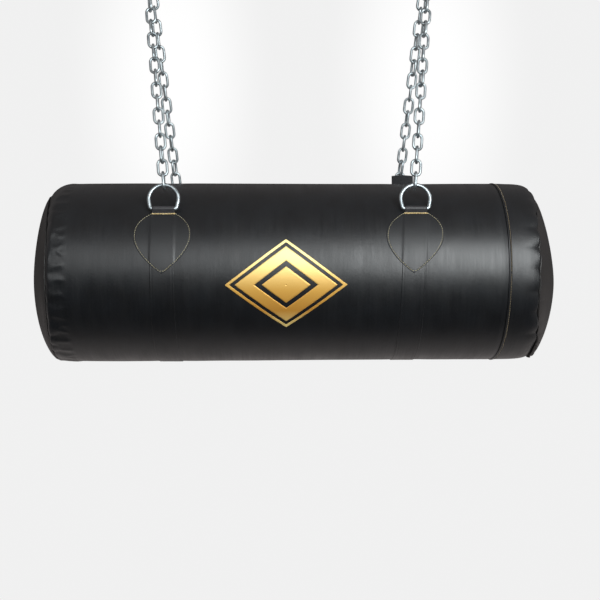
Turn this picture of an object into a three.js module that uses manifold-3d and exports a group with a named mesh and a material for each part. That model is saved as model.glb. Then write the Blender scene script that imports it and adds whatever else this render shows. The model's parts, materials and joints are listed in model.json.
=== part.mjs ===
// Horizontal punching bag slung at two stations and hung from four link chains.
// Millimetres, +X along the bag, +Z up, front of the bag towards -Y.
// Origin: midway between the two ceiling hooks, at the level where they bear in the snap hooks.

import * as THREE from 'three';
import { mergeVertices } from 'three/addons/utils/BufferGeometryUtils.js';
import Module from 'manifold-3d';

const wasm = await Module();
wasm.setup();

// ---- driving dimensions ----
const GAP = 0.3; // clearance between touching pieces
const CONTACT = 0.5; // clearance where one steel piece hangs in another

const BAG_R = 200;
const BAG_LEFT = -505; // end seams, from the middle of the two stations
const BAG_RIGHT = 520;
const LEFT_DOME = 56;
const RIGHT_DOME = 57;
const COVER_WALL = 2;
const FOAM_WALL = 24;
const SLEEVE_WIDTH = 65;
const SLEEVE_HEM = 8;

const STATION_X = 265; // D-rings, either side of the middle
const ANCHOR_X = 319; // ceiling hooks, either side of the middle
const STRAP_WIDTH = 50;
const BAND_THICK = 1.5;
const BAND_TOP_DEG = 35; // the bands and patches end this far above the bag's waist
const PATCH_THICK = 2.3;
const PATCH_WIDTH = 115;
const PATCH_BELLY = 0.56; // where a patch is widest, as a share of its height from the tip
const PATCH_SHOULDER = 0.58; // how much of its width a patch loses from there to its top edge
const PATCH_POINT = 3; // half width of the blunted tip
const LOOP_THICK = 2.4;
const LOOP_TAIL = 15; // how far the loop's two ends run down from the D-ring's bar

const RING_WIRE = 4; // radius of the D-ring's wire
const RING_HALF = 31; // half the D-ring's width, on its centre line
const RING_HEIGHT = 52;
const BAR_DEG = 40; // the D-ring's bar lies this far above the waist
const BAR_RADIUS = 207.5;
const RING_LEAN_DEG = 14;

const LINK_WIRE = 3; // radius
const COARSE_WIRE = 3.45;
const LINK_LENGTH = 41;
const LINK_WIDTH = 25;
const LINK_PITCH = 29.4;
const COARSE_FLAT = 4.5; // half length of a coarse link's flat end
const COARSE_LEG = 10; // half length of its straight leg
const RUN_LINKS = 19; // links of a chain between its top ring and its last link

const TOP_RING_WIRE = 3.5;
const TOP_RING_HALF = 20;
const TOP_RING_CORNER = 8;
const TOP_RING_DROP = 34; // from the snap hook's bar to the top ring's bar
const CHAIN_SPREAD = 7.5; // front and rear chains, either side of the top ring's middle

const HOOK_WIRE = 4;
const HOOK_BAR_Z = -68;
const HOOK_TOP_R = 13;
const HOOK_TOP_Z = -9;
const HOOK_BASE_R = 11;
const HOOK_BASE_HALF = 10;
const HOOK_BASE_Z = -57;
const GATE_WIRE = 3.4;
const GATE_TONGUE = 3.2;
const FORK_SLOT = 3.8;
const PIN_R = 1.5;
const PIN_CLEARANCE = 0.1;
const PIN_CUT = 12; // length of the cuts across the pin, longer than the wire is thick
const FORK_LENGTH = 3.5; // from the pin to the fork's end
const NOSE_CUT = 3; // the nose stops this far short of the top bend
const TONGUE_WIDTH = 5.6;
const TONGUE_LENGTH = 8;
const KNUCKLE_R = 2.8;

const TAG_WIDTH = 50;
const TAG_THICK = 1.2;
const TAG_HEIGHT = 20;
const TAG_LEAN_DEG = 6;
const TAG_SHIFT = -8; // along the bag from the right station
const TAG_Y = 26;
const TAG_LIFT = 8.9; // from the bag's top to the tag's middle

const EMBLEM_X = -9;
const EMBLEM_HALF = 140;
const EMBLEM_POINT = 6; // half width of the lozenge's blunted top and bottom
const EMBLEM_LOW_DEG = -35;
const EMBLEM_HIGH_DEG = 20;
const EMBLEM_THICK = 0.4;

// ---- materials ----
function material(color, roughness, metalness) {
  return new THREE.MeshStandardMaterial({ color, roughness, metalness });
}

const leather = material(0x17181a, 0.45, 0);
const webbing = material(0x131416, 0.8, 0);
const steel = material(0xc3c8cb, 0.3, 1);
const foam = material(0x6f7276, 0.95, 0);
const textile = material(0x8b8378, 0.95, 0);
const gold = material(0xd8ad55, 0.35, 0.6);

const bag = new THREE.Group();

function place(name, geometry, mat) {
  const mesh = new THREE.Mesh(geometry, mat);
  mesh.name = name;
  bag.add(mesh);
  return mesh;
}

// ---- solids ----
const rad = THREE.MathUtils.degToRad;

function welded(geometry) {
  const bare = geometry.index ? geometry : geometry.clone();
  bare.deleteAttribute('normal');
  bare.deleteAttribute('uv');
  return mergeVertices(bare, 1e-3);
}

function solid(geometry) {
  const merged = welded(geometry);
  return new wasm.Manifold(new wasm.Mesh({
    numProp: 3,
    vertProperties: new Float32Array(merged.attributes.position.array),
    triVerts: new Uint32Array(merged.index.array),
  }));
}

function geometryOf(manifold) {
  const mesh = manifold.getMesh();
  const geometry = new THREE.BufferGeometry();
  geometry.setAttribute('position', new THREE.BufferAttribute(mesh.vertProperties, 3));
  geometry.setIndex(new THREE.BufferAttribute(mesh.triVerts, 1));
  return geometry;
}

// A path through given stations, sampled exactly at them.
class StationPath extends THREE.Curve {
  constructor(stations, closed) {
    super();
    this.stations = closed ? [...stations, stations[0]] : stations;
    this.closed = closed;
  }

  getPoint(t) {
    const last = this.stations.length - 1;
    const i = Math.min(Math.floor(t * last), last - 1);
    return this.stations[i].clone().lerp(this.stations[i + 1], t * last - i);
  }

  getPointAt(u) {
    return this.getPoint(u);
  }

  getTangentAt(u) {
    const last = this.stations.length - 1;
    const i = Math.round(u * last);
    const wrap = (k) => (this.closed ? (k + last) % last : Math.max(0, Math.min(last, k)));
    return this.stations[wrap(i + 1)].clone().sub(this.stations[wrap(i - 1)]).normalize();
  }
}

function wireSection(radius, sides) {
  const shape = new THREE.Shape();
  for (let i = 0; i < sides; i += 1) {
    const a = (2 * Math.PI * i) / sides;
    const point = [radius * Math.cos(a), radius * Math.sin(a)];
    if (i === 0) shape.moveTo(...point);
    else shape.lineTo(...point);
  }
  return shape;
}

function wire(stations, radius, sides, closed) {
  const path = new StationPath(stations, closed);
  const steps = path.stations.length - 1;
  const tube = new THREE.ExtrudeGeometry(wireSection(radius, sides), { steps, extrudePath: path });
  if (!closed) return tube;
  // A ring has no end caps: only the wall's triangles are kept.
  const wall = tube.groups.find((group) => group.materialIndex === 1);
  const all = tube.attributes.position.array;
  const ring = new THREE.BufferGeometry();
  const part = all.slice(wall.start * 3, (wall.start + wall.count) * 3);
  ring.setAttribute('position', new THREE.BufferAttribute(part, 3));
  return ring;
}

// Points along an arc in the XZ plane.
function arc(x, z, r, fromDeg, toDeg, pieces) {
  const points = [];
  for (let i = 0; i <= pieces; i += 1) {
    const a = rad(fromDeg + ((toDeg - fromDeg) * i) / pieces);
    points.push(new THREE.Vector3(x + r * Math.cos(a), 0, z + r * Math.sin(a)));
  }
  return points;
}

// ---- the bag ----
// Shapes of revolution about the bag's own axis, which lies along X. The lathe needs its outline
// in the order that points the faces outwards.
function turned(profile, segments) {
  const points = profile.map(([x, r]) => new THREE.Vector2(r, x));
  if (THREE.ShapeUtils.area(points) < 0) points.reverse();
  const geometry = new THREE.LatheGeometry(points, segments);
  geometry.rotateZ(-Math.PI / 2);
  return geometry;
}

function domeProfile(x, r, height, steps) {
  const points = [];
  for (let i = 0; i <= steps; i += 1) {
    const a = (Math.PI / 2) * (i / steps);
    points.push([x + height * Math.sin(a), i === steps ? 0 : r * Math.cos(a)]);
  }
  return points;
}

function endDisc(seam, height) {
  const wall = Math.sign(height) * COVER_WALL;
  const start = seam + Math.sign(height) * GAP;
  const outside = domeProfile(start, BAG_R - 1, height, 5);
  const inside = domeProfile(start, BAG_R - 1 - COVER_WALL, height - wall, 4).reverse();
  return turned([...outside, ...inside, outside[0]], 36);
}

function band(r0, r1, x0, x1, segments) {
  return turned([[x0, r0], [x0, r1], [x1, r1], [x1, r0], [x0, r0]], segments);
}

// A thin plate wrapped on the bag. It runs from one angle above the waist to another, its width
// follows halfWidth(t), and side is -1 in front and +1 behind.
function wrapped(x, r0, r1, fromDeg, toDeg, segments, halfWidth, side) {
  const plate = new THREE.BoxGeometry(1, 1, 1, 1, segments, 1);
  const p = plate.attributes.position;
  for (let i = 0; i < p.count; i += 1) {
    const t = p.getY(i) + 0.5;
    const a = rad(fromDeg + (toDeg - fromDeg) * t);
    const r = p.getZ(i) > 0 ? r1 : r0;
    const px = x - side * 2 * p.getX(i) * halfWidth(t);
    p.setXYZ(i, px, side * r * Math.cos(a), r * Math.sin(a));
  }
  return plate;
}

// Leaf outline: t = 0 at the tip on the waist, 1 at the top edge. A sine swells from the tip to the
// belly, and a parabola narrows to the shoulders.
function leaf(t) {
  const low = Math.sin((Math.PI / 2) * Math.min(1, t / PATCH_BELLY)) ** 0.88;
  const above = Math.max(0, t - PATCH_BELLY) / (1 - PATCH_BELLY);
  return Math.max(PATCH_POINT, (PATCH_WIDTH / 2) * low * (1 - PATCH_SHOULDER * above ** 2));
}

const dz = new THREE.Vector3(0, 0, 1);
const dx = new THREE.Vector3(1, 0, 0);

// Directions and lengths of the chains fix how far the bag hangs below the hooks.
const ringLean = rad(RING_LEAN_DEG);
const barY = BAR_RADIUS * Math.cos(rad(BAR_DEG));
const barZ = BAR_RADIUS * Math.sin(rad(BAR_DEG));
const ringTopY = barY - RING_HEIGHT * Math.sin(ringLean);
const ringTopZ = barZ + RING_HEIGHT * Math.cos(ringLean);
const topBarZ = HOOK_BAR_Z - TOP_RING_DROP;
const half = LINK_LENGTH / 2 - LINK_WIRE; // from a link's middle to its bend's centre line
const firstBend = -(TOP_RING_WIRE + LINK_WIRE + CONTACT);
const lastPivot = firstBend + LINK_PITCH * (RUN_LINKS - 1) + 2 * half - 2 * LINK_WIRE - CONTACT;
const chainLength = lastPivot + 2 * half - LINK_WIRE - RING_WIRE - CONTACT;
const inward = ANCHOR_X - STATION_X;
const acrossY = ringTopY - CHAIN_SPREAD;
const drop = Math.sqrt(chainLength ** 2 - inward ** 2 - acrossY ** 2);
const axisZ = topBarZ - drop - ringTopZ;

function onBag(geometry) {
  geometry.translate(0, 0, axisZ);
  return geometry;
}

const coverRim = BAG_R - 1;
const cover = turned([
  [BAG_LEFT, coverRim - COVER_WALL], [BAG_LEFT, coverRim], [BAG_LEFT + 12, BAG_R],
  [BAG_RIGHT - 4, BAG_R], [BAG_RIGHT - 4, BAG_R - COVER_WALL], [BAG_LEFT + 12, BAG_R - COVER_WALL],
  [BAG_LEFT, coverRim - COVER_WALL],
], 72);
place('outer_cover', onBag(cover), leather);

const sleeveX = BAG_RIGHT - SLEEVE_WIDTH;
const sleeveIn = BAG_R + GAP;
const sleeve = turned([
  [sleeveX, sleeveIn], [sleeveX, sleeveIn + 3], [sleeveX + SLEEVE_HEM, sleeveIn + 3],
  [sleeveX + SLEEVE_HEM + 2, sleeveIn + 1.7], [BAG_RIGHT, sleeveIn + 0.7], [BAG_RIGHT, sleeveIn],
  [sleeveX, sleeveIn],
], 72);
place('closure_sleeve', onBag(sleeve), leather);
place('left_end_disc', onBag(endDisc(BAG_LEFT, -LEFT_DOME)), leather);
place('right_end_disc', onBag(endDisc(BAG_RIGHT, RIGHT_DOME)), leather);

const foamOut = BAG_R - COVER_WALL - 2;
const foamIn = foamOut - FOAM_WALL;
place('foam_liner', onBag(band(foamIn, foamOut, BAG_LEFT + 1, BAG_RIGHT - 5, 24)), foam);

const fillR = foamIn - 3;
const fillLeft = domeProfile(BAG_LEFT, fillR, 8 - LEFT_DOME, 3);
const fillRight = domeProfile(BAG_RIGHT, fillR, RIGHT_DOME - 8, 3);
place('textile_filling', onBag(turned([...fillLeft.reverse(), ...fillRight], 24)), textile);

// ---- slings, patches, loops and D-rings ----
const bandIn = BAG_R + GAP;
const patchIn = bandIn + BAND_THICK + GAP;

// From the rear patch's top edge, under the bag, to the front patch's.
function slingBand(x) {
  const from = 180 - BAND_TOP_DEG;
  const to = 360 + BAND_TOP_DEG;
  const halfWidth = () => STRAP_WIDTH / 2;
  return wrapped(x, bandIn, bandIn + BAND_THICK, from, to, (to - from) / 5, halfWidth, -1);
}

// The webbing wraps the D-ring's bar and its two ends lie together down to the stitching.
function strapLoop(side) {
  const inner = RING_WIRE + GAP;
  const outer = inner + LOOP_THICK;
  const shape = new THREE.Shape();
  shape.absarc(0, 0, outer, rad(-60), rad(240), false);
  shape.lineTo(-outer * 0.5, -LOOP_TAIL);
  shape.lineTo(outer * 0.5 - 1, -LOOP_TAIL);
  shape.closePath();
  const hole = new THREE.Path();
  hole.absarc(0, 0, inner, 0, Math.PI * 2, true);
  shape.holes.push(hole);
  const loop = new THREE.ExtrudeGeometry(shape, {
    depth: STRAP_WIDTH, bevelEnabled: false, curveSegments: 8,
  });
  loop.translate(0, 0, -STRAP_WIDTH / 2);
  // The section's x axis turns to point out of the bag and its y axis up along the surface.
  const out = new THREE.Vector3(0, side * Math.cos(rad(BAR_DEG - 1)), Math.sin(rad(BAR_DEG - 1)));
  const along = new THREE.Vector3(0, side * -Math.sin(rad(BAR_DEG - 1)), Math.cos(rad(BAR_DEG - 1)));
  loop.applyMatrix4(new THREE.Matrix4().makeBasis(out, along, dx.clone().multiplyScalar(side)));
  return loop;
}

function dRing() {
  const corner = 5;
  const straight = RING_HEIGHT - RING_HALF;
  const stations = [
    ...arc(RING_HALF - corner, corner, corner, -90, 0, 2),
    ...arc(0, straight, RING_HALF, 0, 180, 10),
    ...arc(-RING_HALF + corner, corner, corner, 180, 270, 2),
  ];
  return wire(stations, RING_WIRE, 6, true);
}

// ---- chain links ----
// A link lies in the XZ plane round its own middle, its length along Z.
function linkStations(bendSteps) {
  const bend = LINK_WIDTH / 2 - LINK_WIRE;
  const leg = half - bend;
  return [...arc(0, leg, bend, 0, 180, bendSteps), ...arc(0, -leg, bend, 180, 360, bendSteps)];
}

// A coarse link for the long runs: eight chords of four-sided wire, a little over size so that its
// mitred corners reach the round wire's surface where two links bear on each other.
function plainLink() {
  const bend = LINK_WIDTH / 2 - LINK_WIRE;
  const quarter = [[bend, COARSE_LEG], [COARSE_FLAT, half]];
  const above = [...quarter, ...quarter.map(([x, z]) => [-x, z]).reverse()];
  const points = [...above, ...above.map(([x, z]) => [-x, -z])];
  return wire(points.map(([x, z]) => new THREE.Vector3(x, 0, z)), COARSE_WIRE, 4, true);
}

function fineLink() {
  return wire(linkStations(5), LINK_WIRE, 6, true);
}

// A chain's frame: up along the chain, across it, and the third axis.
function chainFrame(from, to) {
  const up = from.clone().sub(to).normalize();
  const across = dx.clone().addScaledVector(up, -dx.dot(up)).normalize();
  const depth = up.clone().cross(across);
  return { up, across, depth };
}

function posed(geometry, frame, origin, distance, edgeOn) {
  const across = edgeOn ? frame.depth : frame.across;
  const depth = edgeOn ? frame.across.clone().negate() : frame.depth;
  const at = origin.clone().addScaledVector(frame.up, -distance);
  const pose = new THREE.Matrix4().makeBasis(across, depth, frame.up);
  pose.setPosition(at);
  return geometry.applyMatrix4(pose);
}

function chain(prefix, sideX, sideY) {
  const from = new THREE.Vector3(sideX * ANCHOR_X, sideY * CHAIN_SPREAD, topBarZ);
  const to = new THREE.Vector3(sideX * STATION_X, sideY * ringTopY, axisZ + ringTopZ);
  const frame = chainFrame(from, to);
  let run = null;
  for (let i = 0; i < RUN_LINKS; i += 1) {
    const middle = firstBend + half + LINK_PITCH * i;
    const link = solid(posed(plainLink(), frame, from, middle, i % 2 === 1));
    run = run ? run.add(link) : link;
  }
  place(`${prefix}_chain`, geometryOf(run), steel);
  const last = posed(fineLink(), frame, from, lastPivot + half, true);
  place(`${prefix}_last_link`, last, steel);
}

for (const [end, sideX] of [['left', -1], ['right', 1]]) {
  const x = sideX * STATION_X;
  place(`${end}_sling_band`, onBag(slingBand(x)), leather);
  for (const [face, side] of [['front', -1], ['rear', 1]]) {
    const prefix = `${face}_${end}`;
    const patch = wrapped(x, patchIn, patchIn + PATCH_THICK, 0, BAND_TOP_DEG, 7, leaf, side);
    place(`${prefix}_patch`, onBag(patch), leather);
    const loop = strapLoop(side);
    loop.translate(x, side * barY, barZ);
    place(`${prefix}_strap_loop`, onBag(loop), webbing);
    const ring = dRing();
    ring.rotateX(side * ringLean);
    ring.translate(x, side * barY, barZ);
    place(`${prefix}_d_ring`, onBag(ring), steel);
    chain(prefix, sideX, side);
  }
}

// ---- top rings ----
// Each hangs from its snap hook's bar and has a straight bar of its own, along Y, for two chains.
function topRing() {
  const bend = HOOK_WIRE + TOP_RING_WIRE + CONTACT;
  const inset = TOP_RING_HALF - TOP_RING_CORNER;
  const base = -TOP_RING_DROP + TOP_RING_CORNER;
  const stations = [
    ...arc(0, 0, bend, 0, 180, 6),
    ...arc(-inset, base, TOP_RING_CORNER, 180, 270, 3),
    ...arc(inset, base, TOP_RING_CORNER, 270, 360, 3),
  ];
  const ring = wire(stations, TOP_RING_WIRE, 8, true);
  ring.rotateZ(Math.PI / 2);
  return ring;
}

// ---- snap hooks ----
const lean = Math.asin((HOOK_TOP_R - HOOK_BASE_R) / Math.hypot(HOOK_BASE_HALF, HOOK_TOP_Z - HOOK_BASE_Z))
  + Math.atan2(HOOK_BASE_HALF, HOOK_TOP_Z - HOOK_BASE_Z);
const leanDeg = THREE.MathUtils.radToDeg(lean);
const sideTop = new THREE.Vector3(HOOK_TOP_R * Math.cos(lean), 0, HOOK_TOP_Z + HOOK_TOP_R * Math.sin(lean));
const sideBase = new THREE.Vector3(
  HOOK_BASE_HALF + HOOK_BASE_R * Math.cos(lean), 0, HOOK_BASE_Z + HOOK_BASE_R * Math.sin(lean));
const pinAt = sideBase.clone().lerp(sideTop, 0.1);
const gateUp = sideTop.clone().sub(sideBase).normalize();

function acrossPin(radius, length) {
  return new THREE.CylinderGeometry(radius, radius, length, 12).translate(pinAt.x, 0, pinAt.z);
}

// A box standing on the gate's line: across the line, along Y, and up the line from the pin.
function onGate(width, thickness, low, high) {
  const box = new THREE.BoxGeometry(width, thickness, high - low);
  box.translate(0, 0, (low + high) / 2);
  const across = dz.clone().cross(gateUp).cross(gateUp).normalize();
  const side = gateUp.clone().cross(across);
  const pose = new THREE.Matrix4().makeBasis(across, side, gateUp);
  pose.setPosition(pinAt);
  return box.applyMatrix4(pose);
}

const forkEnd = pinAt.clone().addScaledVector(gateUp, FORK_LENGTH);
const noseEnd = sideTop.clone().addScaledVector(gateUp, -NOSE_CUT);

function snapHookBody() {
  const stations = [
    forkEnd,
    sideBase,
    ...arc(HOOK_BASE_HALF, HOOK_BASE_Z, HOOK_BASE_R, leanDeg, -90, 5).slice(1),
    ...arc(-HOOK_BASE_HALF, HOOK_BASE_Z, HOOK_BASE_R, 270, 180 - leanDeg, 5),
    ...arc(0, HOOK_TOP_Z, HOOK_TOP_R, 180 - leanDeg, leanDeg, 8),
    noseEnd,
  ];
  let body = solid(wire(stations, HOOK_WIRE, 8, false));
  body = body.subtract(solid(onGate(PIN_CUT, FORK_SLOT, -4.4, 6)));
  return body.subtract(solid(acrossPin(PIN_R + PIN_CLEARANCE, PIN_CUT)));
}

function snapHookGate() {
  const length = noseEnd.distanceTo(pinAt) - CONTACT;
  const root = pinAt.clone().addScaledVector(gateUp, TONGUE_LENGTH - 1);
  const end = pinAt.clone().addScaledVector(gateUp, length);
  let gate = solid(wire([root, end], GATE_WIRE, 8, false));
  gate = gate.add(solid(onGate(TONGUE_WIDTH, GATE_TONGUE, 0, TONGUE_LENGTH)));
  gate = gate.add(solid(acrossPin(KNUCKLE_R, GATE_TONGUE)));
  return gate.subtract(solid(acrossPin(PIN_R + PIN_CLEARANCE, PIN_CUT)));
}

for (const [end, sideX] of [['left', -1], ['right', 1]]) {
  const x = sideX * ANCHOR_X;
  place(`${end}_snap_hook`, geometryOf(snapHookBody()).translate(x, 0, 0), steel);
  place(`${end}_gate`, geometryOf(snapHookGate()).translate(x, 0, 0), steel);
  place(`${end}_gate_pin`, acrossPin(PIN_R, 2 * HOOK_WIRE).translate(x, 0, 0), steel);
  place(`${end}_top_ring`, topRing().translate(x, 0, HOOK_BAR_Z), steel);
}

// ---- trim ----
// A folded woven tag standing on the top of the bag behind the right station's middle.
const tag = new THREE.BoxGeometry(TAG_WIDTH, TAG_THICK, TAG_HEIGHT);
tag.rotateX(rad(-TAG_LEAN_DEG));
tag.translate(STATION_X + TAG_SHIFT, TAG_Y, BAG_R + TAG_LIFT);
place('woven_tag', onBag(tag), webbing);

// The printed emblem's field: a thin skin on the front, a lozenge wider than it is tall.
function lozenge(t) {
  return EMBLEM_POINT + (EMBLEM_HALF - EMBLEM_POINT) * (1 - Math.abs(2 * t - 1));
}

const printIn = BAG_R + GAP;
const print = wrapped(EMBLEM_X, printIn, printIn + EMBLEM_THICK, EMBLEM_LOW_DEG, EMBLEM_HIGH_DEG, 11,
  lozenge, -1);
place('front_emblem', onBag(print), gold);

export default bag;
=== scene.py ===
"""Looks of a horizontal punching bag: leather cover, slings, D-rings, chains and snap hooks.

Metres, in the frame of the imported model: +X along the bag, +Z up, the front faces -Y.
"""
import json
import math

import bmesh
import bpy
import numpy as np
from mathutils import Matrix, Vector


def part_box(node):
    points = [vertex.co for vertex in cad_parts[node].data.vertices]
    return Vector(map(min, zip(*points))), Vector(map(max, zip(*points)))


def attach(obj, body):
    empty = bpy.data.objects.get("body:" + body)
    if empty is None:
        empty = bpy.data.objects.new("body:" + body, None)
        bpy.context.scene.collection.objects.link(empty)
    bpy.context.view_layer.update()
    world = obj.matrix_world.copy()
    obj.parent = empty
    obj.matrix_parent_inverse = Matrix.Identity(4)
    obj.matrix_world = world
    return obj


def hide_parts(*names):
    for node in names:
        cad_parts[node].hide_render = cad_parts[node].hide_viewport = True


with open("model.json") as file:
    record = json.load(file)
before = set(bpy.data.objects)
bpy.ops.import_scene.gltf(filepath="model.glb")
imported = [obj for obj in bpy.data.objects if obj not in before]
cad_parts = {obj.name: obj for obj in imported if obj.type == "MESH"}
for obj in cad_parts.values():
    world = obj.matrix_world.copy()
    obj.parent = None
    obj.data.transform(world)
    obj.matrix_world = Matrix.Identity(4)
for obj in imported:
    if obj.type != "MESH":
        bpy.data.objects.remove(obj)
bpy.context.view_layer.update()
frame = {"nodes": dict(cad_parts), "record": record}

MM = 0.001
JOINTS = {joint["name"]: joint for joint in frame["record"]["behaviour"]["joints"]}

# ---- sizes taken from the frame ----
cover_low, cover_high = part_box("outer_cover")
AXIS_Z = (cover_low[2] + cover_high[2]) / 2
BAG_R = (cover_high[2] - cover_low[2]) / 2
SEAM_L = cover_low[0]
SLEEVE_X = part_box("closure_sleeve")[0][0]
SEAM_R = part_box("closure_sleeve")[1][0]
TIP_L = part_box("left_end_disc")[0][0]
TIP_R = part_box("right_end_disc")[1][0]
STATIONS = {"left": -1, "right": 1}
SIDES = {"front": -1, "rear": 1}
BAR_Z = JOINTS["side_swing"]["pos_m"][2]
HOOK_X = abs(JOINTS["side_swing"]["pos_m"][0])
HOOK_BAR_Z = JOINTS["front_back_swing"]["pos_m"][2]
STATION_X = float(np.mean([corner[0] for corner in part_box("front_right_d_ring")]))

# ---- driving dimensions of the finer pieces ----
STRAP_HALF = 25 * MM
LOOP_HALF = 23.4 * MM
BAND_RISE = 1.2 * MM
PATCH_RISE = 1.8 * MM
PATCH_HALF = 60 * MM
# Angles round the bag are above its front waist.
PATCH_TOP = math.radians(38.2)
PATCH_TIP = math.radians(-0.6)
PATCH_BELLY = 0.60
RIGHT_SLANT = -12 * MM
BAR_ANGLE = math.radians(40)
BAR_RADIUS = 207.5 * MM
RING_LEAN = math.radians(14)
# Each wire's size is its radius.
RING_WIRE = 4 * MM
RING_HALF = 31 * MM
RING_HEIGHT = 52 * MM
LINK_WIRE = 3 * MM
LINK_LENGTH = 41 * MM
LINK_WIDTH = 25 * MM
LINK_PITCH = 29.4 * MM
RUN_LINKS = 19
FIRST_BEND = -7 * MM
CHAIN_SPREAD = 7.5 * MM
SHOULDER_LENGTH = 10 * MM
# How far each end seam bows out above and below.
SEAM_BOW = {"left": (21 * MM, 9 * MM), "right": (18 * MM, 22 * MM)}
STITCH_INSET = 3.2 * MM
SOLID_MIDDLE = 0.002
HEM_STITCH_SHARE = 0.07
TAG_HEIGHT = 22.5 * MM
TAG_SHIFT = 4 * MM
FOAM_INSIDE = 174 * MM
COVER_AROUND = 400
SLEEVE_AROUND = 480
DISC_AROUND = 400
DISC_RINGS = 70
FOLD_ROWS = 40
FOLD_COLUMNS = 330
FOLD_REACH = {"left": 48 * MM, "right": 50 * MM}
FOLD_SEED = {"left": 21, "right": 41}
FOLD_COUNT = {"left": 34, "right": 25}
FOLD_FRAMES = 20
FOLD_LIMIT = 6 * MM
DISC_FOLDS = 27
# The snap hook's bends, as (x, z) from its station, at the frame's own height.
HOOK_BASE = np.array([10, -57]) * MM
HOOK_BASE_BEND = 11 * MM
HOOK_TOP = np.array([0, -9]) * MM
HOOK_TOP_BEND = 13 * MM
TRIANGLE_WIRE = 3.5 * MM
HOOK_WIRE = 4 * MM
GATE_WIRE = 3.4 * MM
PIN_SHARE = 0.1


# ---- camera ----
def place_camera():
    """A 57 mm lens 2.17 m from the bag, level with its axis, turned 1.5 degrees right and 1.7 down,
    and rolled 0.15 degrees."""
    data = bpy.data.cameras.new("camera")
    data.sensor_width = 36
    data.lens = 57.46
    camera = bpy.data.objects.new("camera", data)
    camera.location = (-0.032, -2.174, AXIS_Z)
    camera.rotation_euler = (math.radians(90 - 1.669), 0.0026, -0.0261)
    bpy.context.collection.objects.link(camera)
    bpy.context.scene.camera = camera


place_camera()


# ---- mesh making ----
def quads(rows, columns, closed):
    """Corner numbers of the quads of a grid whose rows are rings, the last row joined to the first
    where it is closed."""
    i = np.arange(rows if closed else rows - 1)[:, None]
    j = np.arange(columns)[None, :]
    i1 = (i + 1) % rows
    j1 = (j + 1) % columns
    corners = [i * columns + j, i * columns + j1, i1 * columns + j1, i1 * columns + j]
    return np.stack(np.broadcast_arrays(*corners), -1).reshape(-1, 4)


def mesh_object(name, points, faces):
    """A smooth object at the origin from vertices and a list of faces, its normals made to point
    outwards."""
    mesh = bpy.data.meshes.new(name)
    mesh.from_pydata(points.reshape(-1, 3).tolist(), [], faces)
    shell = bmesh.new()
    shell.from_mesh(mesh)
    bmesh.ops.recalc_face_normals(shell, faces=shell.faces)
    shell.to_mesh(mesh)
    shell.free()
    mesh.polygons.foreach_set("use_smooth", [True] * len(mesh.polygons))
    mesh.update()
    made = bpy.data.objects.new(name, mesh)
    bpy.context.collection.objects.link(made)
    return made


def open_tube(name, rings):
    """A skin through rings of points, (stations, around, 3), open at both ends."""
    return mesh_object(name, rings, quads(*rings.shape[:2], False).tolist())


def loop_skin(name, loops):
    """A skin through closed loops of points, (stations, around, 3), with a flat cap on each end."""
    stations, around, _ = loops.shape
    faces = quads(stations, around, False)[:, ::-1].tolist()
    faces.append(list(range(around)))
    faces.append([(stations - 1) * around + k for k in reversed(range(around))])
    return mesh_object(name, loops, faces)


def joined_skins(name, skins):
    """One object from several closed skins (points, faces), each a separate solid."""
    points = []
    faces = []
    count = 0
    for grid, cells in skins:
        points.append(grid.reshape(-1, 3))
        faces.append(cells + count)
        count += len(points[-1])
    return mesh_object(name, np.concatenate(points), np.concatenate(faces).tolist())


def arc(cx, cz, radius, start, end, pieces):
    """Points (x, z) on an arc, angles in degrees."""
    a = np.radians(np.linspace(start, end, pieces + 1))
    return np.stack([cx + radius * np.cos(a), cz + radius * np.sin(a)], -1)


def wire(path, normal, radius, sides, wrap):
    """A skin (points, faces) for round wire: at each point of a flat path, a circle in the plane of
    the path's normal and its in-plane perpendicular. The radius may vary along the path, which
    either closes on itself or is capped at both ends."""
    if wrap:
        ahead = np.roll(path, -1, 0) - np.roll(path, 1, 0)
        cells = quads(len(path), sides, True)[:, ::-1]
    else:
        ahead = np.gradient(path, axis=0)
        cells = capped_cells(len(path), sides)
    ahead /= np.linalg.norm(ahead, axis=1, keepdims=True)
    normal = np.broadcast_to(np.asarray(normal, float), path.shape)
    side = np.cross(normal, ahead)
    side /= np.linalg.norm(side, axis=1, keepdims=True)
    a = np.linspace(0, 2 * np.pi, sides, endpoint=False)
    radius = np.broadcast_to(radius, len(path))[:, None, None]
    ring = np.cos(a)[:, None] * side[:, None] + np.sin(a)[:, None] * normal[:, None]
    return path[:, None] + radius * ring, cells


def capped_cells(rows, columns):
    """Faces through a stack of loops, with strips across its two open ends."""
    sides = quads(rows, columns, False)[:, ::-1]
    k = np.arange(columns // 2 - 1)
    low = np.stack([k, columns - 1 - k, columns - 2 - k, k + 1], -1)
    return np.concatenate([sides, low, low[:, ::-1] + (rows - 1) * columns])


def finish_piece(piece, body, slot, finish, *nodes):
    """Gives a piece its material, rides it on its body and hides the nodes that it stands for."""
    piece.data.materials.clear()
    piece.data.materials.append(finish)
    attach(piece, body)
    if nodes:
        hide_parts(*nodes)
    return piece


# ---- the bag's surface ----
def waves(x, angle, seed, count, turns, per_metre):
    """A smooth uneven field about 1 high: a seeded sum of waves round the bag and along it."""
    rng = np.random.default_rng(seed)
    total = np.zeros(np.broadcast(x, angle).shape)
    for _ in range(count):
        m = rng.integers(turns[0], turns[1] + 1)
        k = rng.uniform(-per_metre, per_metre)
        total += np.cos(m * angle + k * x + rng.uniform(0, 2 * np.pi))
    return total / math.sqrt(count)


def smooth(t):
    """0 below 0, 1 above 1, and an even ramp between."""
    t = np.clip(t, 0, 1)
    return t * t * (3 - 2 * t)


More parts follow.
